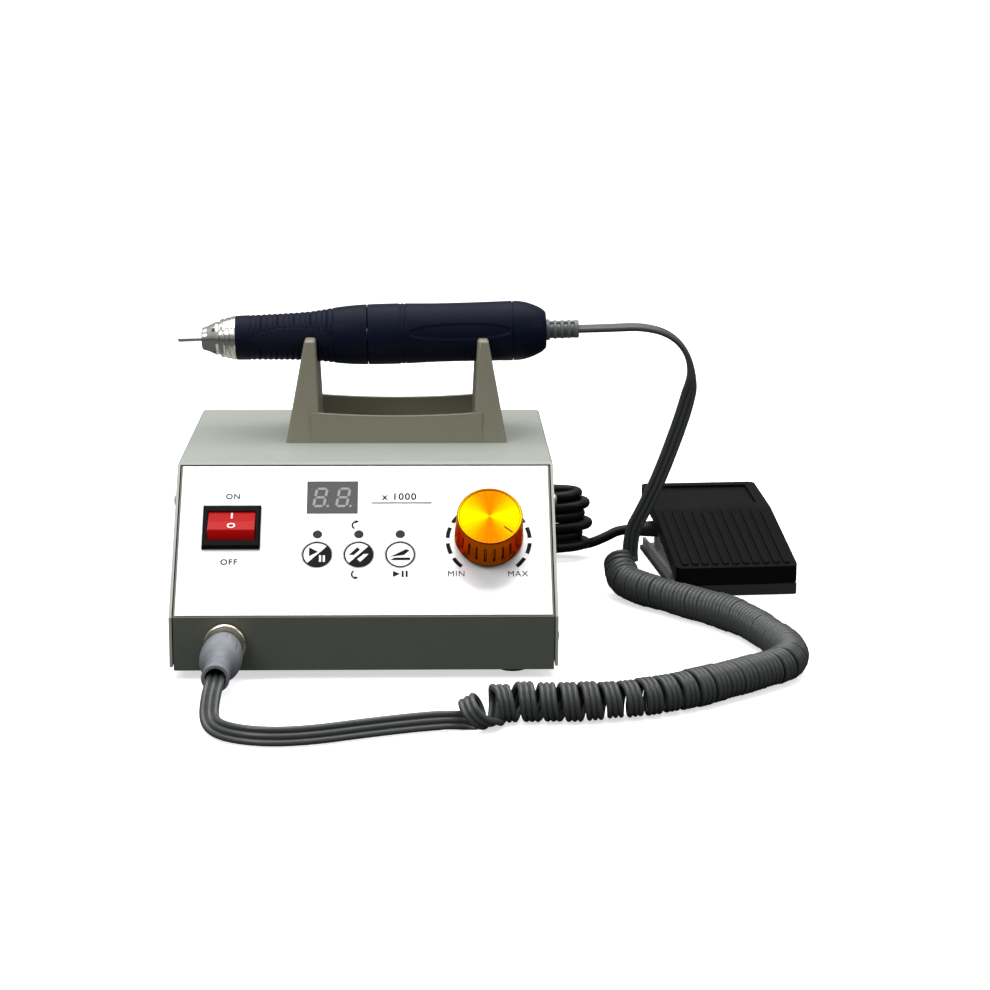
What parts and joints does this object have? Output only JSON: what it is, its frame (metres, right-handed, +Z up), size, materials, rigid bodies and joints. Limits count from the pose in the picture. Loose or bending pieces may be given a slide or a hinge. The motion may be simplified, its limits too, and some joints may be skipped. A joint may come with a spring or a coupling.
{
  "type": "dental micromotor set",
  "caption": "Sloping control box with dial, rocker switch and keys, a cradle on its lid holding a motor handpiece, a curly cord and a foot pedal.",
  "frame": {"origin": "bottom centre of the set without its cords, on the desk", "axes": "+X to the user's right along the panel, +Y away from the user, +Z up"},
  "size_m": [0.2912, 0.3323, 0.1437],
  "materials": {
    "tray_paint": "satin powder coat",
    "cover_paint": "satin, fine texture",
    "screw_steel": "polished",
    "foot_rubber": "matte",
    "overlay_film": "glossy printed film",
    "switch_black": "semi-gloss",
    "rocker_red": "gloss, translucent",
    "window_smoke": "smoked window",
    "display_black": "matte",
    "key_black": "embossed film",
    "tact_black": "matte",
    "led_lens": "diffuse lens",
    "board_green": "solder mask",
    "spacer_brass": "plated",
    "pot_metal": "stamped",
    "shaft_steel": "turned",
    "knob_core": "matte",
    "knob_gold": "gold anodised, turned",
    "socket_nickel": "nickel",
    "contact_brass": "gold plated",
    "boot_rubber": "matte",
    "motor_cord": "semi-gloss",
    "inlet_black": "matte",
    "jack_metal": "plated",
    "plug_black": "matte",
    "pedal_cord": "matte",
    "component_mix": "cans and fins",
    "core_steel": "laminated",
    "winding_tape": "tape over winding",
    "cradle_plastic": "fine grain",
    "chuck_chrome": "polished",
    "handle_navy": "matte, soft touch",
    "relief_grey": "matte",
    "pedal_black": "moulded grain",
    "pedal_plate": "satin",
    "mat_rubber": "matte",
    "spring_steel": "drawn wire",
    "plunger_white": "moulded"
  },
  "bodies": {
    "console": {"base_tray": "tray_paint", "cover_hood": "cover_paint", "cover_screws": "screw_steel", "rubber_feet": "foot_rubber", "panel_overlay": "overlay_film", "switch_housing": "switch_black", "display_window": "window_smoke", "display_module": "display_black", "key_switches": "tact_black", "status_leds": "led_lens", "control_board": "board_green", "board_spacers": "spacer_brass", "potentiometer": "pot_metal", "driver_board": "board_green", "driver_parts": "component_mix", "transformer_core": "core_steel", "transformer_coil": "winding_tape", "mains_inlet": "inlet_black", "pedal_jack": "jack_metal", "motor_socket": "socket_nickel", "socket_nut": "socket_nickel", "socket_contacts": "contact_brass", "plug_shell": "socket_nickel", "plug_boot": "boot_rubber", "motor_lead": "motor_cord", "motor_coil": "motor_cord", "motor_riser": "motor_cord", "jack_plug": "plug_black", "jack_lead": "pedal_cord", "pedal_hank": "pedal_cord", "hank_tie": "pedal_cord", "pedal_lead": "pedal_cord", "cradle": "cradle_plastic", "cradle_screws": "screw_steel", "pedal_base": "pedal_plate", "pedal_mat": "mat_rubber", "hinge_pin": "shaft_steel", "return_spring": "spring_steel", "pedal_switch": "tact_black", "pedal_gland": "plug_black"},
    "rocker": {"switch_rocker": "rocker_red"},
    "mode_key": {"key_mode": "key_black"},
    "direction_key": {"key_direction": "key_black"},
    "start_key": {"key_start": "key_black"},
    "dial": {"speed_knob": "knob_gold", "knob_insert": "knob_core", "pot_shaft": "shaft_steel"},
    "handpiece": {"motor_housing": "handle_navy", "end_cap": "handle_navy", "cord_relief": "relief_grey", "stator": "core_steel", "bearings": "shaft_steel"},
    "grip": {"grip_sleeve": "handle_navy", "nose_cone": "chuck_chrome"},
    "rotor_shaft": {"spindle": "shaft_steel", "rotor": "shaft_steel", "collet": "chuck_chrome", "mandrel": "chuck_chrome"},
    "treadle": {"pedal_treadle": "pedal_black"},
    "plunger": {"switch_plunger": "plunger_white"}
  },
  "joints": [
    {"name": "power_rocker", "type": "hinge", "parent": "console", "child": "rocker", "pos_m": [-0.11563, -0.08437, 0.0565], "axis": [1, 0, 0], "range_deg": [0, 36]},
    {"name": "mode_press", "type": "slide", "parent": "console", "child": "mode_key", "axis": [0, 0.7135, -0.7006], "range_m": [0, 0.0005], "stiffness_N_per_m": 1500, "springref_m": -0.0003},
    {"name": "direction_press", "type": "slide", "parent": "console", "child": "direction_key", "axis": [0, 0.7135, -0.7006], "range_m": [0, 0.0005], "stiffness_N_per_m": 1500, "springref_m": -0.0003},
    {"name": "start_press", "type": "slide", "parent": "console", "child": "start_key", "axis": [0, 0.7135, -0.7006], "range_m": [0, 0.0005], "stiffness_N_per_m": 1500, "springref_m": -0.0003},
    {"name": "speed_turn", "type": "hinge", "parent": "console", "child": "dial", "pos_m": [-0.00573, -0.09021, 0.05383], "axis": [0, -0.7135, 0.7006], "range_deg": [-10, 270]},
    {"name": "handpiece_lift", "type": "slide", "parent": "console", "child": "handpiece", "axis": [-0.0267, 0, 0.9996], "range_m": [0, 0.045]},
    {"name": "chuck_twist", "type": "hinge", "parent": "handpiece", "child": "grip", "pos_m": [-0.05906, 0.00534, 0.12822], "axis": [0.9996, 0, 0.0267], "range_deg": [0, 45]},
    {"name": "spindle_spin", "type": "hinge", "parent": "handpiece", "child": "rotor_shaft", "pos_m": [-0.07465, 0.00534, 0.1278], "axis": [0.9996, 0, 0.0267], "continuous": true},
    {"name": "pedal_press", "type": "hinge", "parent": "console", "child": "treadle", "pos_m": [0.11419, 0.04592, 0.0093], "axis": [-0.9962, -0.0872, 0], "range_deg": [0, 6], "stiffness_Nm_per_rad": 4, "springref_deg": -2.86, "deforming": ["return_spring"]},
    {"name": "plunger_press", "type": "slide", "parent": "console", "child": "plunger", "axis": [0, 0, -1], "range_m": [0, 0.0015]}
  ],
  "couplings": [
    {"joint": "plunger_press", "follows": "pedal_press", "m_per_rad": 0.0143}
  ]
}
